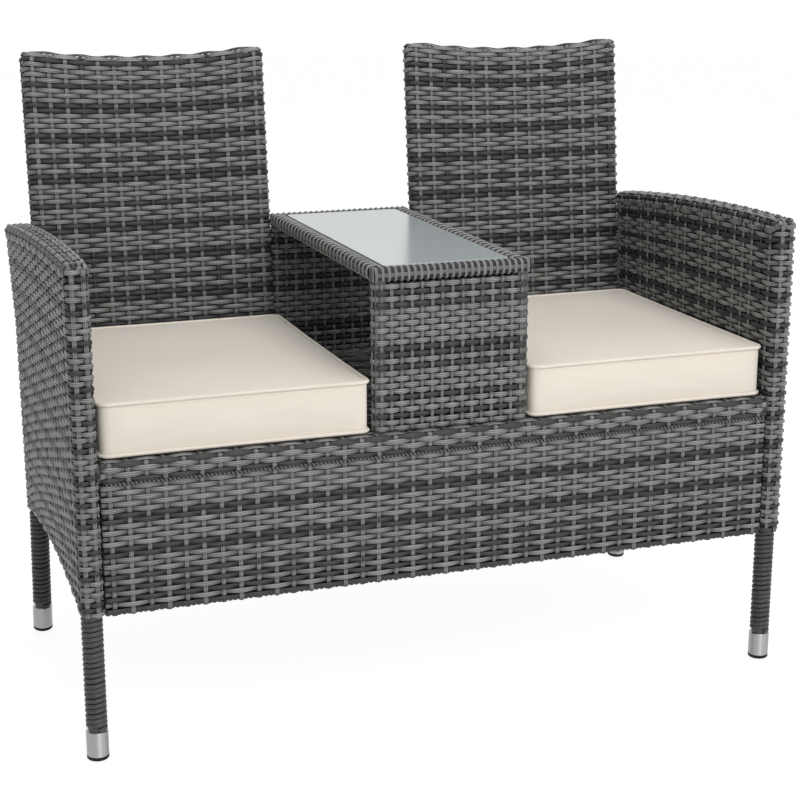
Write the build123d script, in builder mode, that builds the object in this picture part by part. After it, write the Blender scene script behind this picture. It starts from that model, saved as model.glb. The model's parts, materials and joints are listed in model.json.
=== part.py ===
from build123d import *
import os
from math import cos, hypot, pi, radians, sin, sqrt, tan

os.makedirs("parts", exist_ok=True)

# Two-seat woven garden bench with a built-in centre table.
# Millimetres, +Z up, +Y to the rear, origin on the floor under the middle of the bench.

# Stance and heights
leg_span = 1016.0  # left leg centres to right leg centres
leg_reach = 486.0  # front foot centres to rear foot centres
rear_splay = 30.0  # how far a rear foot stands behind its upright
seat_height = 418.0  # top of the woven seat deck
band_height = 31.0  # seat-front band, from the deck down to its seam
apron_drop = 212.0  # seat deck down to the lower edge of the apron and side panels
knee_rise = 30.0  # that lower edge up to where a rear leg turns upright
table_height = 646.0  # top of the table rim
arm_front_height = 680.0  # arm top at its front corner
arm_mid_height = 674.0  # arm top halfway back
arm_rear_height = 651.0  # arm top at its rear corner
back_height = 909.0  # top corners of the backs

# Steel tubes and bars
leg_tube = 22.0
leg_wall = 1.5
rail_depth = 30.0
rail_height = 20.0
rail_wall = 1.5
cross_width = 20.0
back_tube = 18.0
back_wall = 1.5
post_size = 15.0
post_wall = 1.2
apron_rod_size = 8.0
side_rod_size = 8.0
knee_radius = 100.0  # bend where a rear leg turns upright
arm_front_bend = 34.0
arm_rear_bend = 30.0
arch_bend = 900.0  # shallow bend halfway along an arm tube
back_bend = 34.0  # bend at the top corners of a back frame
dip_bend = 950.0  # shallow bend in the middle of a back frame's top

# Woven skins
skin = 3.0  # thickness of a woven wall
deck_skin = 3.7  # thickness of the seat deck
arm_width = 33.0  # width of an arm at its front post
arm_inset = 18.0  # arm tube centre behind the woven front, top and rear of an arm
arm_rake = 22.0  # how far an arm's rear edge leans back at its top
arm_flare = 7.0  # how far an arm leans out at its rear top corner
flare_height = 500.0  # height at which that lean begins
arm_front_radius = 18.0
arm_rear_radius = 18.0
side_arch = 27.0  # rise of a side panel's lower edge
apron_set = 14.0  # apron face ahead of the front leg line
apron_lip = 14.0  # length of the apron's turned-in lower edge
band_depth = 12.0  # how far the seat-front band reaches over the deck
band_radius = 3.5
back_inner = 121.0  # inner edge of each back from the middle
back_outer = 488.0  # outer edge of each back from the middle
back_thickness = 26.0
back_recline = 6.2  # degrees from upright
back_set = 457.5  # front leg line to a back's face, at the seat deck
back_dip = 12.0  # dip in the middle of a back's top edge
back_corner = 14.0

# Table
table_width = 229.0
table_front = -2.0  # front face of the table, from the front leg line
table_rear = 512.0  # rear face of the table, from the front leg line
panel_depth = 22.0  # depth of the woven front and back panels
panel_corner = 6.0
back_panel_width = 238.0  # the back panel fills the gap between the backs
glass_thickness = 5.0
glass_drop = 1.5  # glass top below the rim top
glass_gap = 1.5  # glass edge to the rim, all round
glass_corner = 6.0
bar_width = 20.0
bar_thickness = 3.0
pad_size = 10.0
pad_thickness = 2.0

# Cushions
cushion_height = 74.0  # boxing, from the lower to the upper piping
cushion_crown = 13.0  # rise of the top above the upper piping
cushion_front = -3.0  # front of a cushion, from the front leg line
cushion_corner = 14.0
cushion_waist = 4.0  # how far the sides draw in between the corners
cushion_tuck = 5.0  # how far the top and bottom seams lie inside the boxing
cushion_side_gap = 2.5
cushion_back_gap = 3.0

# Feet and leg windings
cap_size = 30.0
cap_height = 35.0
cap_wall = 1.0
cap_top = 1.2
nub_size = 12.0
nub_height = 3.0
flange_height = 5.0
plug_stem = 25.0
wrap_turns = 22
wrap_thickness = 3.4
wrap_gap = 0.6  # between one turn and the next

# Fasteners
bolt_size = 6.0
bolt_head = 10.0  # across flats
bolt_head_height = 4.0
bolt_reach = 10.0  # thread past the face of a rail
washer_size = 14.0
washer_thickness = 1.2
insert_size = 9.0
insert_length = 10.0
bracket_size = 64.0
bracket_thickness = 3.0

# Clearances
seat_gap = 0.3  # between pieces that rest on each other
hole_gap = 0.3  # around a bolt or an insert, on the radius
slip_gap = 0.5  # around tubes and posts that pass through a woven wall
side_gap = 1.0  # between woven panels side by side
rod_gap = 2.5  # between the ends of a side rod and the legs

# Places worked out from the sizes above, in depth from the front leg line
seam_height = seat_height - band_height
apron_bottom = seat_height - apron_drop
splay_height = apron_bottom + knee_rise
leg_x = leg_span / 2
front_face = -arm_inset
rear_leg = leg_reach - rear_splay
arm_rear = rear_leg + arm_inset
recline = radians(back_recline)
back_length = (back_height - seat_height) / cos(recline)
back_top_rear = back_set + back_length * sin(recline) + back_thickness * cos(recline)
depth_middle = (front_face + back_top_rear) / 2
arm_mid = (front_face + arm_rear) / 2
arm_half = arm_width / 2
arm_inner = leg_x - arm_half
arm_outer = leg_x + arm_half
leg_radius = leg_tube / 2
foot_height = nub_height + flange_height
cap_end = foot_height + cap_height
rail_top = seat_height - deck_skin - seat_gap
rail_middle = rail_top - rail_height / 2
rail_bottom = rail_top - rail_height
rail_end = leg_x - leg_radius - seat_gap
front_rail = apron_set - skin - seat_gap  # front face of the front rail, ahead of the leg line
back_middle = back_thickness / 2
upright_low = (rail_bottom - seat_height) / cos(recline)
upright_depth = back_set + (rail_middle - seat_height) * tan(recline) + back_middle / cos(recline)
upright_half = back_tube / 2 / cos(recline)
rail_lean = (rail_height / 2 + bracket_thickness) * tan(recline)
rear_rail = upright_depth - upright_half - rail_lean - seat_gap  # rear face of the rear rail
table_half = table_width / 2
ring_inset = skin + seat_gap
rim_width = post_size + 2 * ring_inset
rim_bottom = table_height - rim_width
ring_bottom = rim_bottom + ring_inset
post_inset = ring_inset + post_size / 2
post_x = table_half - post_inset
front_post = table_front + post_inset
rear_post = table_rear - post_inset
glass_top = table_height - glass_drop
glass_bottom = glass_top - glass_thickness
bar_top = glass_bottom - seat_gap - pad_thickness
table_middle = (table_front + table_rear) / 2
table_depth = table_rear - table_front
bearer_top = rail_bottom
bearer_bottom = bearer_top - post_size
sides = (("left", -1), ("right", 1))


def depth(from_legs):
    """Y of a place measured back from the front leg line."""
    return from_legs - depth_middle


def finish(part, name):
    """Label a piece and write it as its own file."""
    part.label = name
    export_step(part, f"parts/{name}.step")


def leg_frame(side, row):
    """Plane on the floor at a leg's foot, its normal along the leg."""
    if row == "front":
        return Plane(origin=(side * leg_x, depth(0), 0), x_dir=(1, 0, 0), z_dir=(0, 0, 1))
    lean = (0, -rear_splay, splay_height)
    return Plane(origin=(side * leg_x, depth(leg_reach), 0), x_dir=(1, 0, 0), z_dir=lean)


def back_frame_plane(set_back):
    """Plane of the backs, set behind their front face, X to the right and Y up along the back."""
    face = Plane(
        origin=(0, depth(back_set), seat_height),
        x_dir=(1, 0, 0),
        z_dir=(0, -cos(recline), sin(recline)),
    )
    return face.offset(-set_back)


def arch_rise(place):
    """Rise of a side panel's arched lower edge at one depth."""
    half = (arm_rear - front_face) / 2
    radius = (half * half + side_arch * side_arch) / (2 * side_arch)
    return side_arch - radius + sqrt(radius * radius - (place - arm_mid) ** 2)


# Side frames: legs, arm tubes and the arched rods at the foot of the side panels
arm_tube_front = arm_front_height - arm_inset - arm_front_bend
arm_tube_rear = arm_rear_height - arm_inset - arm_rear_bend
for name, side in sides:
    x = side * leg_x
    with BuildPart() as front_leg:
        with BuildSketch(leg_frame(side, "front").offset(foot_height)):
            Circle(leg_radius)
            Circle(leg_radius - leg_wall, mode=Mode.SUBTRACT)
        extrude(amount=arm_tube_front - foot_height)
    finish(front_leg.part, f"{name}_front_leg")

    foot = leg_frame(side, "rear").offset(foot_height)
    with BuildPart() as rear_leg_tube:
        with BuildLine() as rear_path:
            FilletPolyline(
                foot.origin,
                (x, depth(rear_leg), splay_height),
                (x, depth(rear_leg), arm_tube_rear),
                radius=knee_radius,
            )
        with BuildSketch(foot):
            Circle(leg_radius)
            Circle(leg_radius - leg_wall, mode=Mode.SUBTRACT)
        sweep(path=rear_path.line)
    finish(rear_leg_tube.part, f"{name}_rear_leg")

    with BuildPart() as arm_tube:
        with BuildLine() as arm_path:
            FilletPolyline(
                (x, depth(0), arm_tube_front),
                (x, depth(0), arm_front_height - arm_inset),
                (x, depth(arm_mid), arm_mid_height - arm_inset),
                (x, depth(rear_leg), arm_rear_height - arm_inset),
                (x, depth(rear_leg), arm_tube_rear),
                radius=[arm_front_bend - side_gap, arch_bend, arm_rear_bend - side_gap],
            )
        with BuildSketch(Plane(origin=(x, depth(0), arm_tube_front))):
            Circle(leg_radius)
            Circle(leg_radius - leg_wall, mode=Mode.SUBTRACT)
        sweep(path=arm_path.line)
    finish(arm_tube.part, f"{name}_arm_tube")

    rod_low = apron_bottom + skin + slip_gap + side_rod_size / 2
    rod_start = leg_radius + rod_gap
    rear_leg_low = rear_leg + rear_splay * (splay_height - rod_low) / splay_height
    rod_stop = rear_leg_low - leg_radius - rod_gap
    with BuildPart() as side_rod:
        with BuildLine() as rod_path:
            ThreePointArc(
                (x, depth(rod_start), rod_low + arch_rise(rod_start)),
                (x, depth(arm_mid), rod_low + side_arch),
                (x, depth(rod_stop), rod_low + arch_rise(rod_stop)),
            )
        with BuildSketch(Plane(origin=rod_path.line @ 0, z_dir=rod_path.line % 0)):
            Circle(side_rod_size / 2)
        sweep(path=rod_path.line)
    finish(side_rod.part, f"{name}_side_rod")


# Feet: brushed caps, foot plugs and the strand wound round each leg
def wound_points(frame, radius, low, pitch):
    """Points and tangents each half turn along a winding about a leg's axis."""
    lean = hypot(pi * radius, pitch / 2)
    places = []
    for half in range(2 * wrap_turns + 1):
        angle = half * pi
        spot = (radius * cos(angle), radius * sin(angle), low + half * pitch / 2)
        way = (-pi * radius * sin(angle) / lean, pi * radius * cos(angle) / lean, pitch / 2 / lean)
        tangent = frame.from_local_coords(Vector(way)) - frame.origin
        places.append((frame.from_local_coords(Vector(spot)), tangent))
    return places


def biarc_joint(start, start_way, stop, stop_way):
    """Where two arcs that leave and reach the given tangents meet, and their shared tangent."""
    chord = stop - start
    ways = start_way + stop_way
    across = chord.dot(ways)
    bend = 2 * (1 - start_way.dot(stop_way))
    arm = (-across + sqrt(across * across + bend * chord.dot(chord))) / bend
    near = start + start_way * arm
    far = stop - stop_way * arm
    return (near + far) * 0.5, (far - near).normalized()


def least_gap(path, frame, width):
    """Least gap between neighbouring turns, measured on points along the winding."""
    steps_per_turn = 24
    count = steps_per_turn * wrap_turns
    heights = [frame.to_local_coords(path.position_at(i / count)).Z for i in range(count + 1)]
    return min(heights[i + steps_per_turn] - heights[i] for i in range(count + 1 - steps_per_turn)) - width


for row in ("front", "rear"):
    for name, side in sides:
        frame = leg_frame(side, row)
        with BuildPart() as leg_cap:
            with BuildSketch(frame.offset(foot_height)):
                Circle(cap_size / 2)
                Circle(cap_size / 2 - cap_wall, mode=Mode.SUBTRACT)
            extrude(amount=cap_height)
            with BuildSketch(frame.offset(cap_end - cap_top)):
                Circle(cap_size / 2)
                Circle(leg_radius + hole_gap, mode=Mode.SUBTRACT)
            extrude(amount=cap_top)
        finish(leg_cap.part, f"{name}_{row}_leg_cap")

        with BuildPart() as foot_plug:
            with BuildSketch(frame.offset(-nub_height)):
                Circle(nub_size / 2)
            extrude(amount=2 * nub_height)
            with BuildSketch(frame.offset(nub_height)):
                Circle(cap_size / 2)
            extrude(amount=flange_height)
            with BuildSketch(frame.offset(foot_height)):
                Circle(leg_radius - leg_wall - hole_gap)
            extrude(amount=plug_stem)
            split(bisect_by=Plane.XY, keep=Keep.TOP)
        finish(foot_plug.part, f"{name}_{row}_foot_plug")

    frame = leg_frame(-1, row)
    slant = hypot(rear_splay, splay_height) / splay_height if row == "rear" else 1.0
    wrap_room = apron_bottom * slant - cap_end - 2 * side_gap
    wrap_pitch = (wrap_room + wrap_gap) / (wrap_turns + 1)
    strand_width = wrap_pitch - wrap_gap
    wrap_low = cap_end + side_gap + strand_width / 2
    wrap_radius = leg_radius + seat_gap + wrap_thickness / 2
    places = wound_points(frame, wrap_radius, wrap_low, wrap_pitch)
    with BuildPart() as left_wrap:
        with BuildLine() as wrap_path:
            for (start, start_way), (stop, stop_way) in zip(places, places[1:]):
                joint, joint_way = biarc_joint(start, start_way, stop, stop_way)
                TangentArc(start, joint, tangent=start_way)
                TangentArc(joint, stop, tangent=joint_way)
        with BuildLine() as wrap_axis:
            wrap_high = wrap_low + wrap_turns * wrap_pitch
            Line(*(frame.from_local_coords(Vector(0, 0, height)) for height in (wrap_low, wrap_high)))
        with BuildSketch(Plane(origin=places[0][0], x_dir=frame.z_dir, z_dir=places[0][1])):
            Ellipse(strand_width / 2, wrap_thickness / 2)
        sweep(path=wrap_path.line, binormal=wrap_axis.wires()[0])
        extrude(faces().filter_by(GeomType.PLANE), amount=wrap_thickness)
    gap = least_gap(wrap_path.wires()[0], frame, strand_width)
    print(f"{row} leg windings: {wrap_turns} turns each, least gap {gap:.2f} mm")
    finish(left_wrap.part, f"left_{row}_leg_wrap")
    with BuildPart() as right_wrap:
        with Locations((leg_span, 0, 0)):
            add(left_wrap.part)
    finish(right_wrap.part, f"right_{row}_leg_wrap")


# Seat frame: rails between the legs, cross rails, table bearers, apron rod and leg brackets
front_rail_middle = rail_depth / 2 - front_rail
rear_rail_middle = rear_rail - rail_depth / 2
bracket_x = rail_end - bracket_size / 2
upright_x = (back_inner + back_middle, back_outer - back_middle)
bolt_hole = bolt_size / 2 + hole_gap
insert_hole = insert_size / 2 + hole_gap
for rail_name, place in (("front_seat_rail", front_rail_middle), ("rear_seat_rail", rear_rail_middle)):
    with BuildPart() as rail:
        rail_start = (-rail_end, depth(place), rail_middle)
        with BuildSketch(Plane(origin=rail_start, x_dir=(0, 1, 0), z_dir=(1, 0, 0))):
            Rectangle(rail_depth, rail_height)
            Rectangle(rail_depth - 2 * rail_wall, rail_height - 2 * rail_wall, mode=Mode.SUBTRACT)
        extrude(amount=2 * rail_end)
        with BuildSketch(Plane(origin=(0, depth(place), rail_bottom))):
            with Locations(*((x, 0) for x in (-bracket_x, -post_x, post_x, bracket_x))):
                Circle(insert_hole)
        extrude(amount=rail_wall, mode=Mode.SUBTRACT)
        if rail_name == "rear_seat_rail":
            with BuildSketch(Plane.XZ.offset(-depth(rear_rail))):
                with Locations(*((side * x, rail_middle) for x in upright_x for _, side in sides)):
                    Circle(insert_hole)
            extrude(amount=rail_wall, mode=Mode.SUBTRACT)
    finish(rail.part, rail_name)

cross_start = front_rail_middle + rail_depth / 2
cross_stop = rear_rail_middle - rail_depth / 2
cross_x = (back_outer - cross_width, (back_inner + back_outer) / 2)
with BuildPart() as seat_cross_rails:
    with BuildSketch(Plane.XZ.offset(-depth(cross_start))):
        with Locations(*((side * x, rail_middle) for x in cross_x for _, side in sides)):
            Rectangle(cross_width, rail_height)
            Rectangle(cross_width - 2 * rail_wall, rail_height - 2 * rail_wall, mode=Mode.SUBTRACT)
    extrude(amount=cross_start - cross_stop)
finish(seat_cross_rails.part, "seat_cross_rails")

with BuildPart() as table_bearers:
    with BuildSketch(Plane.XZ.offset(-depth(-front_rail))):
        with Locations(*((side * post_x, bearer_top - post_size / 2) for _, side in sides)):
            Rectangle(post_size, post_size)
            Rectangle(post_size - 2 * post_wall, post_size - 2 * post_wall, mode=Mode.SUBTRACT)
    extrude(amount=-front_rail - table_rear)
    with BuildSketch(Plane.XY.offset(bearer_bottom)):
        for place in (front_rail_middle, rear_rail_middle):
            with Locations((-post_x, depth(place)), (post_x, depth(place))):
                Circle(bolt_hole)
    extrude(amount=post_size, mode=Mode.SUBTRACT)
finish(table_bearers.part, "table_bearers")

rod_height = apron_bottom + skin + seat_gap + apron_rod_size / 2
rod_depth = apron_rod_size / 2 - front_rail
with BuildPart() as apron_rod:
    with BuildSketch(Plane.YZ.offset(-rail_end)):
        with Locations((depth(rod_depth), rod_height)):
            Circle(apron_rod_size / 2)
    extrude(amount=2 * rail_end)
finish(apron_rod.part, "apron_rod")

with BuildPart() as leg_brackets:
    with BuildSketch(Plane.XY.offset(rail_bottom - bracket_thickness)):
        for _, side in sides:
            for place in (front_rail_middle, rear_rail_middle):
                with Locations((side * bracket_x, depth(place))):
                    Rectangle(bracket_size, rail_depth)
                    Circle(bolt_hole, mode=Mode.SUBTRACT)
    extrude(amount=bracket_thickness)
finish(leg_brackets.part, "leg_brackets")


# Woven arms: hollow skins over the side frames, leaning out towards the rear top corner
def arm_outline(side, inset):
    """Side view of an arm, in depth and height, drawn in by an inset, on its inner wall."""
    front = depth(front_face + inset)
    rear = depth(arm_rear - inset)
    rear_top = depth(arm_rear + arm_rake - inset)
    low = apron_bottom + inset
    with BuildSketch(Plane.YZ.offset(side * (arm_inner + inset))) as outline:
        with BuildLine():
            ThreePointArc(
                (front, arm_front_height - inset),
                (depth(arm_mid), arm_mid_height - inset),
                (rear_top, arm_rear_height - inset),
            )
            Line((rear_top, arm_rear_height - inset), (rear, low))
            ThreePointArc((rear, low), (depth(arm_mid), low + side_arch), (front, low))
            Line((front, low), (front, arm_front_height - inset))
        make_face()
        fillet(vertices().sort_by(Axis.Y)[-1], arm_front_radius - inset)
        fillet(vertices().sort_by(Axis.X)[-2:].sort_by(Axis.Y)[-1], arm_rear_radius - inset)
    return outline.sketch


def flare_plane(side, inset):
    """Plane of an arm's leaning outer face, from its front top corner to its rear, facing out."""
    outer = side * (arm_outer - inset)
    hinge_front = Vector(outer, depth(front_face), arm_front_height)
    hinge_rear = Vector(outer, depth(arm_rear), flare_height)
    rear_top = Vector(outer + side * arm_flare, depth(arm_rear), arm_rear_height)
    facing = (hinge_rear - hinge_front).cross(rear_top - hinge_front) * side
    return Plane(origin=hinge_front, z_dir=facing)


def arm_body(side, inset):
    """An arm's outer form, or with an inset the space inside its skin."""
    outline = arm_outline(side, inset)
    with BuildPart() as flared:
        extrude(outline, amount=side * (arm_width + 2 * arm_flare))
        split(bisect_by=flare_plane(side, inset), keep=Keep.BOTTOM)
    with BuildPart() as body:
        extrude(outline, amount=side * (arm_width - 2 * inset))
        add(flared.part)
    return body.part


for name, side in sides:
    hollow = arm_body(side, skin)
    with BuildPart() as arm_weave:
        add(arm_body(side, 0))
        add(hollow, mode=Mode.SUBTRACT)
        for row in ("front", "rear"):
            with BuildSketch(leg_frame(side, row).offset(apron_bottom - skin)):
                Circle(leg_radius + slip_gap)
            extrude(amount=2 * arm_inset, mode=Mode.SUBTRACT)
        with BuildSketch(Plane.YZ.offset(side * (arm_inner + skin / 2))):
            for place in (front_rail_middle, rear_rail_middle):
                with Locations((depth(place), rail_middle - bracket_thickness / 2)):
                    Rectangle(rail_depth + 2 * slip_gap, rail_height + bracket_thickness + 2 * slip_gap)
            with Locations((depth(rod_depth), rod_height)):
                Circle(apron_rod_size / 2 + slip_gap)
        extrude(amount=2 * skin, both=True, mode=Mode.SUBTRACT)
    finish(arm_weave.part, f"{name}_arm_weave")


# Woven front: apron, seat-front band and seat deck
apron_half = arm_inner - side_gap
apron_face = depth(-apron_set)
with BuildPart() as front_apron_weave:
    with BuildSketch(Plane.YZ.offset(-apron_half)):
        with BuildLine():
            Polyline(
                (apron_face, apron_bottom),
                (apron_face + apron_lip, apron_bottom),
                (apron_face + apron_lip, apron_bottom + skin),
                (apron_face + skin, apron_bottom + skin),
                (apron_face + skin, seam_height - seat_gap),
                (apron_face, seam_height - seat_gap),
                close=True,
            )
        make_face()
    extrude(amount=2 * apron_half)
finish(front_apron_weave.part, "front_apron_weave")

band_stop = apron_face + band_depth
with BuildPart() as seat_front_band:
    with BuildSketch(Plane.YZ.offset(-apron_half)):
        with BuildLine():
            Polyline(
                (apron_face, seam_height),
                (apron_face + skin, seam_height),
                (apron_face + skin, seat_height - deck_skin),
                (band_stop, seat_height - deck_skin),
                (band_stop, seat_height),
                (apron_face, seat_height),
                close=True,
            )
        make_face()
        fillet(vertices().group_by(Axis.Y)[-1].sort_by(Axis.X)[0], band_radius)
    extrude(amount=2 * apron_half)
finish(seat_front_band.part, "seat_front_band")

deck_start = band_stop + seat_gap
deck_stop = depth(back_set - side_gap)
tongue_stop = depth(table_rear - panel_depth - side_gap)
with BuildPart() as seat_deck_weave:
    with BuildSketch(Plane.XY.offset(seat_height - deck_skin)):
        with Locations((0, (deck_start + deck_stop) / 2)):
            Rectangle(2 * apron_half, deck_stop - deck_start)
        with Locations((0, (deck_start + tongue_stop) / 2)):
            Rectangle(table_width, tongue_stop - deck_start)
        with Locations((-post_x, depth(front_post)), (post_x, depth(front_post))):
            Rectangle(post_size + 2 * slip_gap, post_size + 2 * slip_gap, mode=Mode.SUBTRACT)
    extrude(amount=deck_skin)
finish(seat_deck_weave.part, "seat_deck_weave")


# Backs: a bent tube frame inside each hollow woven back
def back_outline(side, set_back, inset):
    """Front view of a back, set behind its front face and drawn in by an inset."""
    inner = side * (back_inner + inset)
    outer = side * (back_outer - inset)
    low = side_gap + inset
    high = back_length - inset
    with BuildSketch(back_frame_plane(set_back)) as outline:
        with BuildLine():
            ThreePointArc((inner, high), ((inner + outer) / 2, high - back_dip), (outer, high))
            Polyline((outer, high), (outer, low), (inner, low), (inner, high))
        make_face()
        fillet(vertices().group_by(Axis.Y)[-1], back_corner - inset)
    return outline.sketch


for name, side in sides:
    first_x = side * upright_x[0]
    last_x = side * upright_x[1]
    tube_top = back_length - back_middle
    middle_plane = back_frame_plane(back_middle)
    with BuildPart() as back_frame:
        with BuildLine(middle_plane) as back_path:
            FilletPolyline(
                (first_x, upright_low),
                (first_x, tube_top),
                ((first_x + last_x) / 2, tube_top - 2 * back_dip),
                (last_x, tube_top),
                (last_x, upright_low),
                radius=[back_bend, dip_bend, back_bend],
            )
        with BuildSketch(Plane(origin=back_path.line @ 0, z_dir=back_path.line % 0)):
            Circle(back_tube / 2)
            Circle(back_tube / 2 - back_wall, mode=Mode.SUBTRACT)
        sweep(path=back_path.line)
        with BuildSketch(Plane.XZ.offset(-depth(upright_depth - back_thickness))):
            with Locations((first_x, rail_middle), (last_x, rail_middle)):
                Circle(bolt_hole)
        extrude(amount=-2 * back_thickness, mode=Mode.SUBTRACT)
    finish(back_frame.part, f"{name}_back_frame")

    with BuildPart() as back_weave:
        extrude(back_outline(side, 0, 0), amount=-back_thickness)
        extrude(back_outline(side, skin, skin), amount=2 * skin - back_thickness, mode=Mode.SUBTRACT)
        foot_holes = Plane(
            origin=middle_plane.from_local_coords(Vector(0, 0, 0)),
            x_dir=(1, 0, 0),
            z_dir=middle_plane.y_dir,
        )
        with BuildSketch(foot_holes):
            with Locations((first_x, 0), (last_x, 0)):
                Circle(back_tube / 2 + slip_gap)
        extrude(amount=back_thickness, mode=Mode.SUBTRACT)
    finish(back_weave.part, f"{name}_back_weave")


# Table: posts, ring, glass bars, woven panels, wrapped rim, pads and glass
with BuildPart() as table_posts:
    for place, base in ((front_post, rail_top), (rear_post, bearer_top)):
        with BuildSketch(Plane.XY.offset(base)):
            with Locations((-post_x, depth(place)), (post_x, depth(place))):
                Rectangle(post_size, post_size)
                Rectangle(post_size - 2 * post_wall, post_size - 2 * post_wall, mode=Mode.SUBTRACT)
        extrude(amount=ring_bottom - base)
finish(table_posts.part, "table_posts")


def table_ring_sketch(inset, width):
    """A rectangular ring in plan, drawn in from the table's outline."""
    with Locations((0, depth(table_middle))):
        Rectangle(table_width - 2 * inset, table_depth - 2 * inset)
        Rectangle(
            table_width - 2 * inset - 2 * width,
            table_depth - 2 * inset - 2 * width,
            mode=Mode.SUBTRACT,
        )


with BuildPart() as table_ring:
    with BuildSketch(Plane.XY.offset(ring_bottom)):
        table_ring_sketch(ring_inset, post_size)
    extrude(amount=post_size)
    with BuildSketch(Plane.XY.offset(ring_bottom + post_wall)):
        table_ring_sketch(ring_inset + post_wall, post_size - 2 * post_wall)
    extrude(amount=post_size - 2 * post_wall, mode=Mode.SUBTRACT)
finish(table_ring.part, "table_ring")

bar_length = table_width - 2 * ring_inset - 2 * post_size
bar_places = [depth(table_middle + way * table_depth / 4) for way in (-1, 1)]
with BuildPart() as glass_bars:
    with BuildSketch(Plane.XY.offset(bar_top - bar_thickness)):
        with Locations(*((0, place) for place in bar_places)):
            Rectangle(bar_length, bar_width)
    extrude(amount=bar_thickness)
finish(glass_bars.part, "glass_bars")

with BuildPart() as table_rim_wrap:
    with BuildSketch(Plane.XY.offset(rim_bottom)):
        table_ring_sketch(0, rim_width)
    extrude(amount=rim_width)
    with BuildSketch(Plane.XY.offset(rim_bottom + skin)):
        table_ring_sketch(skin, rim_width - 2 * skin)
    extrude(amount=rim_width - 2 * skin, mode=Mode.SUBTRACT)
    with BuildSketch(Plane.XY.offset(rim_bottom)):
        for place in (front_post, rear_post):
            with Locations((-post_x, depth(place)), (post_x, depth(place))):
                Rectangle(post_size + 2 * slip_gap, post_size + 2 * slip_gap)
    extrude(amount=skin, mode=Mode.SUBTRACT)
    with BuildSketch(Plane.XY.offset(bar_top - bar_thickness - slip_gap)):
        with Locations(*((0, place) for place in bar_places)):
            Rectangle(bar_length, bar_width + 2 * slip_gap)
    extrude(amount=bar_thickness + 2 * slip_gap, mode=Mode.SUBTRACT)
finish(table_rim_wrap.part, "table_rim_wrap")

panels = (
    ("table_front_weave", table_front + panel_depth / 2, seat_height + seat_gap, table_width),
    ("table_back_weave", table_rear - panel_depth / 2, bearer_top + seat_gap, back_panel_width),
)
for panel_name, place, base, width in panels:
    with BuildPart() as panel:
        with BuildSketch(Plane.XY.offset(base)):
            with Locations((0, depth(place))):
                RectangleRounded(width, panel_depth, panel_corner)
                Rectangle(width - 2 * skin, panel_depth - 2 * skin, mode=Mode.SUBTRACT)
        extrude(amount=rim_bottom - seat_gap - base)
    finish(panel.part, panel_name)

glass_width = table_width - 2 * rim_width - 2 * glass_gap
glass_depth = table_depth - 2 * rim_width - 2 * glass_gap
with BuildPart() as table_glass:
    with BuildSketch(Plane.XY.offset(glass_bottom)):
        with Locations((0, depth(table_middle))):
            RectangleRounded(glass_width, glass_depth, glass_corner)
    extrude(amount=glass_thickness)
finish(table_glass.part, "table_glass")

pad_x = glass_width / 2 - pad_size
with BuildPart() as glass_pads:
    with BuildSketch(Plane.XY.offset(bar_top)):
        with Locations(*((side * pad_x, place) for place in bar_places for _, side in sides)):
            Circle(pad_size / 2)
    extrude(amount=pad_thickness)
finish(glass_pads.part, "glass_pads")


# Cushions: boxed sides that draw in between the corners, and a crowned top
cushion_inner = table_half + cushion_side_gap
cushion_outer = arm_inner - cushion_side_gap
cushion_rear = back_set - cushion_back_gap
cushion_base = seat_height + seat_gap
cushion_top = cushion_base + cushion_height


def cushion_outline(side, height, inset):
    """A cushion's outline at one height: four arcs that draw in, with rounded corners."""
    inner = side * (cushion_inner + inset)
    outer = side * (cushion_outer - inset)
    front = depth(cushion_front + inset)
    rear = depth(cushion_rear - inset)
    middle = (inner + outer) / 2
    waist = (front + rear) / 2
    draw = side * cushion_waist
    with BuildSketch(Plane.XY.offset(height)) as outline:
        with BuildLine():
            ThreePointArc((inner, front), (middle, front + cushion_waist), (outer, front))
            ThreePointArc((outer, front), (outer - draw, waist), (outer, rear))
            ThreePointArc((outer, rear), (middle, rear - cushion_waist), (inner, rear))
            ThreePointArc((inner, rear), (inner + draw, waist), (inner, front))
        make_face()
        fillet(vertices(), cushion_corner)
    return outline.sketch


# Each crown step: share of the half width drawn in, and share of the crown's rise
crown_steps = ((0.06, 0.4), (0.16, 0.75), (0.32, 1.0))
half_cushion = (cushion_outer - cushion_inner) / 2
for name, side in sides:
    layers = [
        cushion_outline(side, cushion_base, cushion_tuck),
        cushion_outline(side, cushion_base + cushion_tuck, 0),
        cushion_outline(side, cushion_top - cushion_tuck, 0),
        cushion_outline(side, cushion_top, cushion_tuck),
    ]
    for inward, rise in crown_steps:
        drawn_in = cushion_tuck + inward * half_cushion
        layers.append(cushion_outline(side, cushion_top + rise * cushion_crown, drawn_in))
    with BuildPart() as cushion:
        loft(layers, ruled=True)
    finish(cushion.part, f"{name}_cushion")


# Bolts, washers and insert nuts
def bolt_group(name, places, way, grip):
    """Hex bolts with heads at the given places, pointing one way through a grip into a rail."""
    head_planes = [Plane(origin=spot, x_dir=(1, 0, 0), z_dir=way) for spot in places]
    with BuildPart() as bolts:
        for plane in head_planes:
            with BuildSketch(plane.offset(-washer_thickness - bolt_head_height)):
                RegularPolygon(bolt_head / 2, 6, major_radius=False)
            extrude(amount=bolt_head_height)
            with BuildSketch(plane.offset(-washer_thickness)):
                Circle(bolt_size / 2)
            extrude(amount=washer_thickness + grip + bolt_reach)
    finish(bolts.part, name)
    return [(plane, grip) for plane in head_planes]


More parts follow.
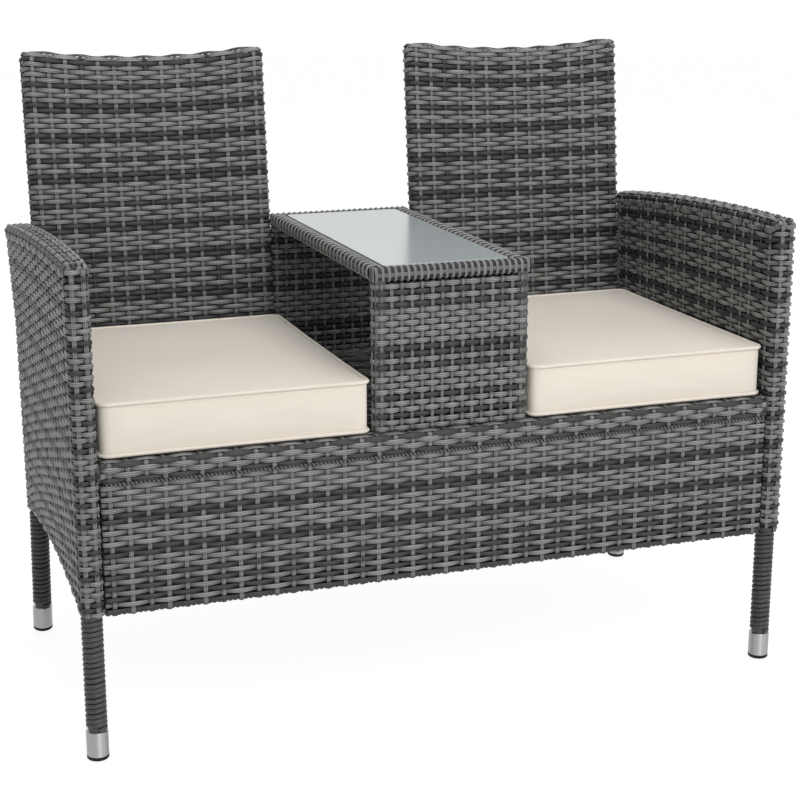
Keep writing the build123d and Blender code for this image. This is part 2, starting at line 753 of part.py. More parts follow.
leg_bolt_spots = [
    (side * bracket_x, depth(place), rail_bottom - bracket_thickness)
    for place in (front_rail_middle, rear_rail_middle)
    for _, side in sides
]
bearer_bolt_spots = [
    (side * post_x, depth(place), bearer_bottom)
    for place in (front_rail_middle, rear_rail_middle)
    for _, side in sides
]
upright_rear = upright_depth + upright_half + washer_size / 2 * tan(recline) + seat_gap
back_bolt_spots = [(side * x, depth(upright_rear), rail_middle) for x in upright_x for _, side in sides]
seats = bolt_group("leg_bolts", leg_bolt_spots, (0, 0, 1), bracket_thickness)
seats += bolt_group("bearer_bolts", bearer_bolt_spots, (0, 0, 1), post_size)
seats += bolt_group("back_bolts", back_bolt_spots, (0, -1, 0), upright_rear - rear_rail)

with BuildPart() as bolt_washers:
    for plane, grip in seats:
        with BuildSketch(plane.offset(-washer_thickness)):
            Circle(washer_size / 2)
            Circle(bolt_hole, mode=Mode.SUBTRACT)
        extrude(amount=washer_thickness)
finish(bolt_washers.part, "bolt_washers")

with BuildPart() as insert_nuts:
    for plane, grip in seats:
        with BuildSketch(plane.offset(grip)):
            Circle(insert_size / 2)
            Circle(bolt_hole, mode=Mode.SUBTRACT)
        extrude(amount=insert_length)
finish(insert_nuts.part, "insert_nuts")
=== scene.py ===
import json
import math

import bpy
import numpy as np
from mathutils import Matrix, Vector


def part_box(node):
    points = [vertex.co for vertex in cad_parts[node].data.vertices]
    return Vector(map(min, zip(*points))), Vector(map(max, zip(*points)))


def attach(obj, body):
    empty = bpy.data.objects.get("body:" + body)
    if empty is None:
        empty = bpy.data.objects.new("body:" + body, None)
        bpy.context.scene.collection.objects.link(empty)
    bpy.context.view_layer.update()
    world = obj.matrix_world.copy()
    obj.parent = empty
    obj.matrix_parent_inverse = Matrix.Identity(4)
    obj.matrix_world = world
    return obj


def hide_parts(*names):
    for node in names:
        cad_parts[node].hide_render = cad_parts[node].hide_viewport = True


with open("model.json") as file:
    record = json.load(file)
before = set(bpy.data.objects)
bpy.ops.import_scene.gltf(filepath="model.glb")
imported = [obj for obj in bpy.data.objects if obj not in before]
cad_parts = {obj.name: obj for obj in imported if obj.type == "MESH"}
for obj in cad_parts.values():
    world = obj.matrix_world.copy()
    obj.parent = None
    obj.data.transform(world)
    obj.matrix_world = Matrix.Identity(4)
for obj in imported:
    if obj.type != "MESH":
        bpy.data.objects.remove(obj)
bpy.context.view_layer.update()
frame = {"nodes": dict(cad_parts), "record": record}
scene = bpy.context.scene
dice = np.random.default_rng(11)

# Sizes in metres, +Y to the rear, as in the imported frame
row_pitch = 0.0077
stake_pitch = 0.0245
weft_width = 0.0071
weft_waist = 0.0055
stake_width = 0.0068
strand_thickness = 0.0017
weft_lift = 0.0015
stake_lift = 0.0006
weft_fullness = 0.45
weft_flatness = 0.75
row_drift = 0.035  # share of a row's pitch
stake_sway = 0.0003
stake_margin = 0.012  # first and last stake from the edge of a flat weave
row_overhang = 0.0115  # rows past the first and last stake of a flat weave
skin_middle = 0.0018
# A dark sheet behind each weave stands for the shade inside it: painted shade.
shade_sheet_depth = 0.0026
flat_shade_sheet_depth = 0.0011
shade_sheet_thickness = 0.0006
shade_sheet_inset = 0.001

leg_x = 0.508
arm_width = 0.033
arm_corner = 0.0065
arm_front_radius = 0.010
arm_rear_radius = 0.012
side_arch = 0.027
flare_height = 0.500
arm_flare = 0.007
arm_rake = 0.027
arm_depth = 0.498
arm_front_height = 0.680
arm_mid_height = 0.674
arm_rear_height = 0.651
apron_bottom = 0.206
seat_height = 0.418
back_recline = math.radians(6.2)
back_thickness = 0.026
back_dip = 0.0145
back_spread = 0.0037
cap_top_height = 0.043
light, dark = 0.0, 1.0
stake_shade = 0.12

# Which rows and stakes are dark, read upwards and repeated
row_rhythm = (0, 0, 0, 1, 1, 0, 0, 0, 0, 1, 1, 0, 0, 0, 1, 0, 0, 0, 0, 1, 1, 0, 0, 1)
apron_rhythm = (1, 0, 1, 0, 1, 0, 1, 0, 0, 0, 1, 1, 0, 0, 0, 0, 1, 1, 0, 0, 0, 0, 0)
panel_rhythm = (0, 0, 1, 0, 0, 1, 0, 0, 0, 0, 1, 0, 1, 1, 0, 0, 0, 0, 0, 0, 1, 0, 1, 0)
stake_rhythm = (0, 0, 1, 0, 0, 0, 1, 0)
cap_rhythm = (0, 0, 1, 0)

rightward = np.array([1.0, 0.0, 0.0])
forward = np.array([0.0, -1.0, 0.0])
rearward = np.array([0.0, 1.0, 0.0])
up = np.array([0.0, 0.0, 1.0])


def unit(vectors):
    """Vectors of length one."""
    return vectors / np.linalg.norm(vectors, axis=-1, keepdims=True)


def columns(*parts):
    """Arrays and numbers side by side, as the columns of one array."""
    return np.stack(np.broadcast_arrays(*parts), -1)


def rhythm(pattern, count, start=0):
    """A repeated light and dark pattern, as a list of tones."""
    return [float(pattern[(start + i) % len(pattern)]) for i in range(count)]


def evenly(first, last, pitch):
    """Even places from first to last, about a pitch apart."""
    return np.linspace(first, last, max(2, int(round(abs(last - first) / pitch)) + 1))


def middles(count):
    """Row middles from 0 to 1."""
    return (np.arange(count) + 0.5) / count


def path_length(points):
    """Length of a polyline."""
    return float(np.sum(np.linalg.norm(np.diff(points, axis=0), axis=1)))


def follow(points, ways, s):
    """Places and facings along a polyline, by the distance walked."""
    walked = np.concatenate([[0.0], np.cumsum(np.linalg.norm(np.diff(points, axis=0), axis=1))])
    place = columns(*[np.interp(s, walked, part) for part in points.T])
    way = columns(*[np.interp(s, walked, part) for part in ways.T])
    return place, unit(way)


# Flat strands with a rounded face
class Strands:
    """Collects strands and makes one mesh of them."""

    across = np.array([-1.0, -0.76, -0.40, 0.0, 0.40, 0.76, 1.0])
    height = np.array([0.0, 0.60, 0.90, 1.0, 0.90, 0.60, 0.0])

    def __init__(self):
        self.points, self.quads, self.ends = [], [], []
        self.tones, self.crests, self.marks = [], [], []
        self.count = 0

    def keep(self, points, quads, tone, crest, marks):
        """Stores points with their faces and attributes."""
        self.points.append(points)
        self.quads.append(quads)
        self.tones.append(np.full(len(points), tone))
        self.crests.append(crest)
        self.marks.append(marks)
        self.count += len(points)

    # The last argument says how high the strand lies, 1 on top; its colour is darkened by it as painted
    # shade.
    def add(self, path, facing, width, thickness, tone, closed=False, crest=1.0):
        """One strand along a path, its rounded face turned the facing way."""
        number, sides = len(path), len(self.across)
        if closed:
            ahead = np.roll(path, -1, 0) - np.roll(path, 1, 0)
        else:
            ahead = np.gradient(path, axis=0)
        ahead = unit(ahead)
        facing = np.broadcast_to(facing, path.shape)
        facing = unit(facing - ahead * np.sum(facing * ahead, axis=1, keepdims=True))
        sideways = np.cross(facing, ahead)
        half = np.broadcast_to(width, number)[:, None] / 2 * self.across[None, :]
        rise = (self.height - 0.5) * thickness
        rings = path[:, None] + sideways[:, None] * half[..., None] + facing[:, None] * rise[None, :, None]
        index = self.count + np.arange(number * sides).reshape(number, sides)
        following = np.roll(index, -1, 0)
        if not closed:
            self.ends.append(np.stack([index[0], index[-1][::-1]]))
            index, following = index[:-1], following[:-1]
        quads = columns(index, following, np.roll(following, -1, 1), np.roll(index, -1, 1)).reshape(-1, 4)
        steps = np.linalg.norm(np.diff(path, axis=0), axis=1)
        walked = np.concatenate([[0.0], np.cumsum(steps)])[:, None]
        marks = columns(self.across[None, :], walked, dice.random())
        crest = np.repeat(np.broadcast_to(crest, number), sides)
        self.keep(rings.reshape(-1, 3), quads, tone, crest, marks.reshape(-1, 3))

    def line(self, surface, s, t, depth, closed=False):
        """A thin dark sheet behind a weave, seen only through its gaps: painted shade for the hollow behind
        it.
        """
        rows, across = len(s), len(t)
        grid_s, grid_t = np.meshgrid(s, t, indexing="ij")
        place, facing = surface(grid_s.ravel(), grid_t.ravel())
        outer = place - facing * depth
        inner = outer - facing * shade_sheet_thickness
        a = self.count + np.arange(rows * across).reshape(rows, across)
        b = a + rows * across
        if closed:
            a, b = np.concatenate([a, a[:1]]), np.concatenate([b, b[:1]])
        faces = [
            (a[:-1, :-1], a[1:, :-1], a[1:, 1:], a[:-1, 1:]),
            (b[:-1, :-1], b[:-1, 1:], b[1:, 1:], b[1:, :-1]),
            (a[:-1, 0], b[:-1, 0], b[1:, 0], a[1:, 0]),
            (a[:-1, -1], a[1:, -1], b[1:, -1], b[:-1, -1]),
        ]
        if not closed:
            faces.append((a[0, :-1], a[0, 1:], b[0, 1:], b[0, :-1]))
            faces.append((a[-1, :-1], b[-1, :-1], b[-1, 1:], a[-1, 1:]))
        quads = np.concatenate([columns(*corners).reshape(-1, 4) for corners in faces])
        turn = np.cross(outer[across] - outer[0], outer[1] - outer[0])
        if np.dot(turn, facing[0]) < 0:
            quads = quads[:, ::-1]
        points = np.concatenate([outer, inner])
        self.keep(points, quads, dark, np.zeros(len(points)), np.zeros((len(points), 3)))

    def build(self, name, nodes=(), slot="strand_grey"):
        """The strands as one piece of the bench."""
        points, quads, ends = (np.concatenate(part) for part in (self.points, self.quads, self.ends))
        mesh = bpy.data.meshes.new(name)
        mesh.vertices.add(len(points))
        mesh.vertices.foreach_set("co", points.astype(np.float32).ravel())
        corners = np.concatenate([quads.ravel(), ends.ravel()])
        end_starts = quads.size + np.arange(len(ends)) * len(self.across)
        starts = np.concatenate([np.arange(len(quads)) * 4, end_starts])
        mesh.loops.add(len(corners))
        mesh.loops.foreach_set("vertex_index", corners.astype(np.int32))
        mesh.polygons.add(len(starts))
        mesh.polygons.foreach_set("loop_start", starts.astype(np.int32))
        for attribute, kind, field, values in (
            ("tone", "FLOAT", "value", self.tones),
            ("crest", "FLOAT", "value", self.crests),
            ("strand", "FLOAT_VECTOR", "vector", self.marks),
        ):
            layer = mesh.attributes.new(attribute, kind, "POINT")
            layer.data.foreach_set(field, np.concatenate(values).astype(np.float32).ravel())
        mesh.update(calc_edges=True)
        mesh.validate()
        mesh.shade_smooth()
        place_piece(name, mesh, "bench", slot, nodes)


def place_piece(name, mesh, body, slot, nodes=()):
    """A mesh as a piece that rides on a body and stands for CAD nodes."""
    piece = bpy.data.objects.new(name, mesh)
    scene.collection.objects.link(piece)
    mesh.materials.append(finishes[slot])
    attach(piece, body)
    if nodes:
        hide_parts(*nodes)
    return piece


def loft(name, rings, body, slot, nodes=(), closed=False):
    """A skin over rings of points, with caps or closed on itself."""
    layers, count = rings.shape[:2]
    index = np.arange(layers * count).reshape(layers, count)
    first, following = index, np.roll(index, -1, 0)
    if not closed:
        first, following = index[:-1], following[:-1]
    quads = columns(first, np.roll(first, -1, 1), np.roll(following, -1, 1), following)
    faces = quads.reshape(-1, 4).tolist()
    if not closed:
        faces += [index[0, ::-1].tolist(), index[-1].tolist()]
    mesh = bpy.data.meshes.new(name)
    mesh.from_pydata(rings.reshape(-1, 3).tolist(), [], faces)
    mesh.shade_smooth()
    return place_piece(name, mesh, body, slot, nodes)


# Outline that strands go round
class Ring:
    """A rounded rectangle, walked from its front left corner: front, right, rear, left."""

    def __init__(self, across, deep, radius):
        self.across, self.deep = across, deep
        self.arc = math.pi * radius / 2
        self.front = across - 2 * radius
        self.side = deep - 2 * radius
        self.length = 2 * (self.front + self.side + 2 * self.arc)
        turn = np.linspace(0, math.pi / 2, 9)
        corners = (
            (self.front / 2, -self.side / 2, self.front), (self.front / 2, self.side / 2, self.side),
            (-self.front / 2, self.side / 2, self.front), (-self.front / 2, -self.side / 2, self.side),
        )
        places, ways, walked = [[[-self.front / 2, -deep / 2]]], [[[0.0, -1.0]]], [[0.0]]
        start = 0.0
        for quarter, (p, q, straight) in enumerate(corners):
            angle = (quarter - 1) * math.pi / 2 + turn
            way = columns(np.cos(angle), np.sin(angle))
            places.append(np.array([p, q]) + radius * way)
            ways.append(way)
            walked.append(start + straight + radius * turn)
            start += straight + self.arc
        self.places, self.ways, self.walked = (np.concatenate(part) for part in (places, ways, walked))

    def at(self, s):
        """Places and outward ways, in the ring's own two directions."""
        s = np.mod(s, self.length)
        return [np.interp(s, self.walked, part[:, i]) for part in (self.places, self.ways) for i in (0, 1)]

    def stakes(self, p, q):
        """Where stakes at p across and q deep stand on the walk."""
        return np.concatenate([
            0.5 * self.front + p,
            self.front + self.arc + 0.5 * self.side + q,
            1.5 * self.front + self.side + 2 * self.arc - p[::-1],
            2 * self.front + 1.5 * self.side + 3 * self.arc - q[::-1],
        ])

    def round(self, count):
        """Places right round, close together on the corners."""
        even = np.linspace(0, self.length, count + 1)[:-1]
        return np.unique(np.round(np.concatenate([even, self.walked[:-1]]), 5))


def weave(strands, surface, stakes, rows, row_tones, stake_tones, length=0.0, width=weft_width,
          waist=weft_waist, upright=stake_width, lift=weft_lift, counter=stake_lift, margin=0.0, steps=4,
          end_steps=4, foot=0.5):
    """Plain weave on a surface: rows go over one stake and under the next, and change about each row.

    Rows go right round where the length round is given, and else end a margin past the last stakes."""
    number = len(stakes)
    if length:
        order = np.linspace(0, number, number * steps + 1)[:-1]
        s = np.interp(order, np.arange(number + 1), np.append(stakes, stakes[0] + length))
    else:
        knots = np.concatenate([[stakes[0] - margin], stakes, [stakes[-1] + margin]])
        end = np.linspace(0, 1, end_steps + 1)
        order = np.linspace(0, number - 1, (number - 1) * steps + 1)
        order = np.concatenate([end[:-1] - 1, order, number - 1 + end[1:]])
        s = np.interp(order, np.arange(-1, number + 1), knots)
    pitch = (rows[-1] - rows[0]) / (len(rows) - 1)
    for row, height in enumerate(rows):
        wave = np.cos(math.pi * (order + row))
        # Strands are narrower and darker where they dive; the darkening is painted shade.
        crest = (0.5 + 0.5 * wave) ** weft_fullness
        drift = height + pitch * dice.normal(0.0, row_drift)
        place, facing = surface(s, np.full_like(s, drift))
        swing = lift * np.sign(wave) * np.abs(wave) ** weft_flatness
        full = waist + (width - waist) * crest
        strands.add(place + facing * swing[:, None], facing, full, strand_thickness, row_tones[row],
                    length > 0, crest)
    ladder = np.linspace(-0.5, len(rows) - 0.5, 2 * len(rows) + 1)
    heights = np.interp(ladder, np.arange(len(rows)), rows)
    heights[0], heights[-1] = rows[0] - foot * pitch, rows[-1] + 0.5 * pitch
    for i in range(number):
        wave = -np.cos(math.pi * (ladder + i))
        sway = dice.normal(0.0, stake_sway)
        place, facing = surface(np.full_like(heights, stakes[i] + sway), heights)
        path = place + facing * (counter * wave)[:, None]
        tone = stake_shade + (1 - stake_shade) * stake_tones[i]
        strands.add(path, facing, upright, strand_thickness, tone, crest=0.5 + 0.5 * wave)


def coil(strands, start, end, turns, radius, width, thickness, tone, steps, wobble=0.0):
    """A strand wound round the line from start to end."""
    number = int(turns * steps) + 1
    length = np.linalg.norm(end - start)
    angle = np.linspace(0, 2 * math.pi * turns, number)
    drift = wobble * (np.sin(0.31 * angle) + np.sin(0.173 * angle + 1.0) - math.sin(1.0))
    walked = np.clip(np.linspace(0, length, number) + drift, 0, length)
    walked = np.maximum.accumulate(walked) + np.arange(number) * 1e-9
    ahead = unit(end - start)
    first = unit(forward - ahead * np.dot(forward, ahead))
    second = np.cross(ahead, first)
    out = first * np.cos(angle)[:, None] + second * np.sin(angle)[:, None]
    strands.add(start + ahead * walked[:, None] + out * radius, out, width, thickness, tone)


# Materials
class Paint:
    """The nodes of one material or world, and its main shader."""

    def __init__(self, owner, shader):
        owner.use_nodes = True
        self.owner = owner
        self.nodes, self.links = owner.node_tree.nodes, owner.node_tree.links
        self.shader = self.nodes[shader]

    def put(self, socket, value):
        """Gives a socket a number or a colour, or links another socket to it."""
        if isinstance(value, bpy.types.NodeSocket):
            self.links.new(value, socket)
        else:
            socket.default_value = value

    def add(self, kind, **inputs):
        """A new node with the named inputs."""
        node = self.nodes.new(kind)
        for name, value in inputs.items():
            self.put(node.inputs[name], value)
        return node

    def finish(self, **inputs):
        """Sets the shader's named inputs."""
        for name, value in inputs.items():
            self.put(self.shader.inputs[name.replace("_", " ")], value)

    def math(self, operation, *values):
        """A math node over sockets and numbers."""
        node = self.nodes.new("ShaderNodeMath")
        node.operation = operation
        for socket, value in zip(node.inputs, values):
            self.put(socket, value)
        return node.outputs[0]

    def times(self, first, second):
        """The product of two values."""
        return self.math("MULTIPLY", first, second)

    def scaled(self, value, factor, offset):
        """Factor times value plus offset."""
        return self.math("MULTIPLY_ADD", value, factor, offset)

    def mix(self, factor, first, second):
        """A colour between two others."""
        node = self.nodes.new("ShaderNodeMix")
        node.data_type = "RGBA"
        for place, value in ((0, factor), (6, first), (7, second)):
            self.put(node.inputs[place], value)
        return node.outputs[2]

    def noise(self, vector, scale, detail):
        """A noise factor over a vector socket."""
        return self.add("ShaderNodeTexNoise", Vector=vector, Scale=scale, Detail=detail).outputs["Fac"]

    def bump(self, height, strength, distance):
        """Bump from a height socket."""
        node = self.add("ShaderNodeBump", Strength=strength, Distance=distance, Height=height)
        self.finish(Normal=node.outputs["Normal"])

    def place(self):
        """Places on the piece itself."""
        return self.nodes.new("ShaderNodeTexCoord").outputs["Object"]

    def seen(self):
        """One where the camera looks, straight or by glass or reflection, and else zero."""
        rays = self.nodes.new("ShaderNodeLightPath").outputs
        seen = self.math("MAXIMUM", rays["Is Camera Ray"], rays["Is Glossy Ray"])
        return self.math("MAXIMUM", seen, rays["Is Transmission Ray"])


def new_paint(name):
    """A new material."""
    return Paint(bpy.data.materials.new(name), "Principled BSDF")


def toned(colour, factor):
    """A paler or darker colour."""
    return tuple(min(1.0, factor * c) for c in colour[:3]) + (1,)


def strand_material(name, pale, deep):
    """Extruded plastic strand: two tones, streaks along its length, fine ribs, and painted shade where it
    dives and in its grooves.
    """
    paint = new_paint(name)
    sockets = []
    for attribute, output in (("tone", "Fac"), ("crest", "Fac"), ("strand", "Vector")):
        node = paint.nodes.new("ShaderNodeAttribute")
        node.attribute_name = attribute
        sockets.append(node.outputs[output])
    tone, crest, strand = sockets
    across, along, seed = paint.add("ShaderNodeSeparateXYZ", Vector=strand).outputs

    def streaks(across_scale, along_scale, detail):
        """Noise drawn out along the strand, its own on each strand."""
        place = paint.add("ShaderNodeCombineXYZ", X=paint.times(across, across_scale),
                          Y=paint.times(along, along_scale), Z=paint.times(seed, 90.0))
        return paint.noise(place.outputs[0], 1.0, detail)

    fine = streaks(4.5, 45.0, 3.0)
    broad = streaks(0.4, 24.0, 1.0)
    ribs = paint.math("COSINE", paint.times(across, 9.4))
    grooves = paint.math("POWER", paint.scaled(ribs, -0.5, 0.5), 2.0)
    pale_streak = paint.mix(fine, toned(pale, 0.62), pale)
    deep_streak = paint.mix(fine, toned(deep, 0.60), deep)
    shade = paint.times(paint.scaled(seed, 0.22, 0.89), paint.scaled(broad, 0.6, 0.70))
    # Painted shade: darker where a strand dives under another.
    shade = paint.times(shade, paint.scaled(crest, 0.84, 0.16))
    # Painted shade in the grooves between the ribs.
    shade = paint.times(shade, paint.scaled(grooves, -0.72, 1.0))
    tint = paint.nodes.new("ShaderNodeVectorMath")
    tint.operation = "SCALE"
    paint.put(tint.inputs[0], paint.mix(tone, pale_streak, deep_streak))
    paint.put(tint.inputs["Scale"], shade)
    paint.bump(paint.scaled(grooves, -1.5, fine), 0.5, 0.0005)
    paint.finish(Base_Color=tint.outputs[0], Roughness=0.42, Specular_IOR_Level=0.35)
    return paint.owner


def fabric_material(name, colour, weave_size):
    """Plain woven cover: crossing threads, with soft changes of shade."""
    paint = new_paint(name)
    place = paint.place()
    heights = []
    for axis in ("X", "Y"):
        wave = paint.add("ShaderNodeTexWave", Vector=place, Scale=1 / weave_size, Distortion=0.6, Detail=1.0)
        wave.bands_direction = axis
        heights.append(wave.outputs["Fac"])
    threads = paint.math("MAXIMUM", *heights)
    soft = paint.mix(paint.noise(place, 9.0, 4.0), toned(colour, 0.94), colour)
    final = paint.mix(paint.times(threads, 0.10), soft, (0.93, 0.88, 0.80, 1))
    paint.bump(threads, 0.22, 0.0006)
    paint.finish(Base_Color=final, Roughness=0.86, Specular_IOR_Level=0.22, Sheen_Weight=0.25)
    return paint.owner


def metal_material(name, colour, roughness, grain):
    """Brushed metal: fine lines round the piece."""
    paint = new_paint(name)
    stretch = paint.add("ShaderNodeMapping", Vector=paint.place(), Scale=(12.0, 12.0, 1600.0))
    lines = paint.noise(stretch.outputs[0], 1.0, 3.0)
    paint.bump(lines, 0.06, 0.0003)
    paint.finish(Base_Color=paint.mix(lines, toned(colour, 0.82), colour),
                 Roughness=paint.scaled(lines, grain, roughness),
                 Metallic=1.0, Anisotropic=0.95, Anisotropic_Rotation=0.25)
    return paint.owner


def coat_material(name, colour, roughness, gloss):
    """Powder coat, rubber or moulded plastic: a fine pebbled skin."""
    paint = new_paint(name)
    place = paint.place()
    paint.bump(paint.noise(place, 900.0, 2.0), 0.12, 0.0003)
    paint.finish(Base_Color=paint.mix(paint.noise(place, 30.0, 3.0), colour, toned(colour, 1.35)),
                 Roughness=roughness, Specular_IOR_Level=gloss)
    return paint.owner


def glass_material(name, colour):
    """Pale frosted glass, a little cloudy."""
    paint = new_paint(name)
    place = paint.place()
    paint.bump(paint.noise(place, 1400.0, 2.0), 0.03, 0.0002)
    paint.finish(Base_Color=paint.mix(paint.noise(place, 14.0, 3.0), colour, toned(colour, 1.06)),
                 Roughness=0.20, Transmission_Weight=0.12, IOR=1.5, Specular_IOR_Level=0.4)
    return paint.owner


finishes = {
    "strand_grey": strand_material("strand_grey", (0.335, 0.332, 0.326, 1), (0.052, 0.052, 0.054, 1)),
    "strand_dark": strand_material("strand_dark", (0.084, 0.084, 0.086, 1), (0.056, 0.056, 0.058, 1)),
    "cushion_fabric": fabric_material("cushion_cover", (0.745, 0.682, 0.597, 1), 0.0042),
    "cap_steel": metal_material("cap_steel", (0.46, 0.455, 0.45, 1), 0.42, 0.08),
    "fastener_steel": metal_material("fastener_steel", (0.50, 0.50, 0.50, 1), 0.34, 0.12),
    "frame_paint": coat_material("frame_paint", (0.045, 0.045, 0.046, 1), 0.5, 0.5),
    "foot_plastic": coat_material("foot_plastic", (0.008, 0.008, 0.008, 1), 0.5, 0.15),
    "pad_rubber": coat_material("pad_rubber", (0.02, 0.02, 0.02, 1), 0.8, 0.3),
    "frosted_glass": glass_material("frosted_glass", (0.40, 0.44, 0.45, 1)),
}
for part in frame["record"]["subparts"]:
    mesh = frame["nodes"][part["node"]].data
    mesh.materials.clear()
    mesh.materials.append(finishes[part["material_slot"]])


# Backs: each row goes right round, and the stakes fold over the top edge
back_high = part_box("left_back_weave")[1]
back_length = (back_high.z - seat_height) / math.cos(back_recline) + 0.002
back_face_y = back_high.y - back_thickness * math.cos(back_recline) - back_length * math.sin(back_recline)


def back_weave(name, side):
    """One woven back."""
    low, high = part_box(f"{name}_back_weave")
    half_width = (high.x - low.x) / 2 + back_spread
    ring = Ring(2 * (half_width - skin_middle), back_thickness - 2 * skin_middle, back_thickness / 2 - 0.004)
    upward = np.array([0.0, math.sin(back_recline), math.cos(back_recline)])
    inward = np.array([0.0, math.cos(back_recline), -math.sin(back_recline)])
    origin = np.array([(low.x + high.x) / 2, back_face_y, seat_height])
    top_rise = 0.006
    corner = 0.010
    dome = 0.024
    foot = -0.0055
    edge_margin = 0.015
    wall_top = back_length - top_rise - skin_middle

    def put(p, v, q):
        return origin + columns(p, 0.0, 0.0) + v[:, None] * upward + q[:, None] * inward

    def top_line(p):
        """Height of the top edge: a dip in the middle and rounded corners."""
        over = np.clip(np.abs(p) - (half_width - corner), 0, corner)
        round_off = corner - np.sqrt(corner**2 - over**2)
        return wall_top - back_dip * (1 - (p / half_width) ** 2) - round_off

    def wall(s, t):
        p, q, out_p, out_q = ring.at(s)
        v = foot + t * (wall_top - foot) - (wall_top - top_line(p)) * t**4
        facing = columns(out_p, 0.0, 0.0) + out_q[:, None] * inward
        return put(p, v, q + back_thickness / 2), unit(facing)

    def top(s, t):
        turn = math.pi * t
        past = np.clip((np.abs(s) - half_width + dome) / dome, 0, 1)
        v = top_line(s) + top_rise * np.sin(turn) * np.sqrt(1 - past**2)
        facing = -np.cos(turn)[:, None] * inward + np.sin(turn)[:, None] * upward
        return put(s, v, back_thickness / 2 - ring.deep / 2 * np.cos(turn)), unit(facing)

    edge = ring.across / 2 - edge_margin
    places = np.linspace(-edge, edge, 2 * int(round(edge / stake_pitch)) + 1)
    stakes = ring.stakes(places, np.array([0.0]))
    rows = int(round(back_length / row_pitch))
    tones = rhythm(stake_rhythm, len(places), 3 if side < 0 else 0)
    row_tones = rhythm(row_rhythm, rows, 4 if side < 0 else 11)
    strands = Strands()
    stake_tones = tones + [dark] + tones[::-1] + [dark]
    weave(strands, wall, stakes, middles(rows), row_tones, stake_tones, ring.length)
    strands.line(wall, ring.round(40), np.linspace(0, 0.985, 14), shade_sheet_depth, closed=True)

    # Dark strands inside the side edges, and one that closes the gap to the table: painted shade where these
    # gaps would show through
    rise = np.linspace(0, 0.97, 60)
    edge_shade_width, edge_shade_thickness, edge_shade_depth = 0.0125, 0.0036, 0.0014
    for edge_place in (stakes[len(places)], stakes[-1]):
        line, facing = wall(np.full_like(rise, edge_place), rise)
        strands.add(line - facing * edge_shade_depth, facing, edge_shade_width, edge_shade_thickness, dark, crest=0.3)
    gap_width, gap_thickness, gap_inset = 0.018, 0.0044, 0.007
    table_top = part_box("table_back_weave")[1].z
    rise = np.linspace(foot, (table_top - seat_height) / math.cos(back_recline), 30)
    behind = np.full_like(rise, back_thickness + gap_thickness / 2)
    strands.add(put(-side * (half_width - gap_inset), rise, behind), inward, gap_width, gap_thickness, dark,
                crest=0.2)

    # Top edge, with a dark strand laid along it
    weave(strands, top, places, np.array([0.20, 0.50, 0.80]), [light, dark, light], tones,
          margin=half_width - 0.004 - places[-1], end_steps=8, lift=0.0012, width=0.0078, foot=0.6)
    walk = np.linspace(places[0], places[-1], 8 * (len(places) - 1) + 1)
    order = np.linspace(0, len(places) - 1, len(walk))
    line, facing = top(walk, np.full_like(walk, 0.42))
    swing = 0.0012 + 0.0022 * np.sin(math.pi * order / 2) ** 2
    strands.add(line + facing * swing[:, None], facing, 0.0040, 0.0016, dark)
    strands.build(f"{name}_back_strands", [f"{name}_back_weave"])


back_weave("left", -1)
back_weave("right", 1)


# Arms: side panels with rows right round, and a plaited cap
arm_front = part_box("right_arm_weave")[0].y
arm_rear = arm_front + arm_depth
arm_middle = (arm_front + arm_rear) / 2


def arm_curve(y):
    """Height of an arm's gently arched top, before its corners are rounded."""
    u = (y - arm_middle) / (arm_depth / 2)
    tilt = (arm_rear_height - arm_front_height) / 2
    bow = (arm_front_height + arm_rear_height) / 2 - arm_mid_height
    return arm_mid_height + u * tilt + u * u * bow


def arm_lean(y, z):
    """How far an arm's outer face leans out."""
    hinge = arm_front_height + (flare_height - arm_front_height) * (y - arm_front) / arm_depth
    return arm_flare * np.maximum(0, (z - hinge) / (arm_rear_height - flare_height))


def soft_step(t):
    """A soft step from 0 to 1."""
    t = np.clip(t, 0, 1)
    return t * t * (3 - 2 * t)


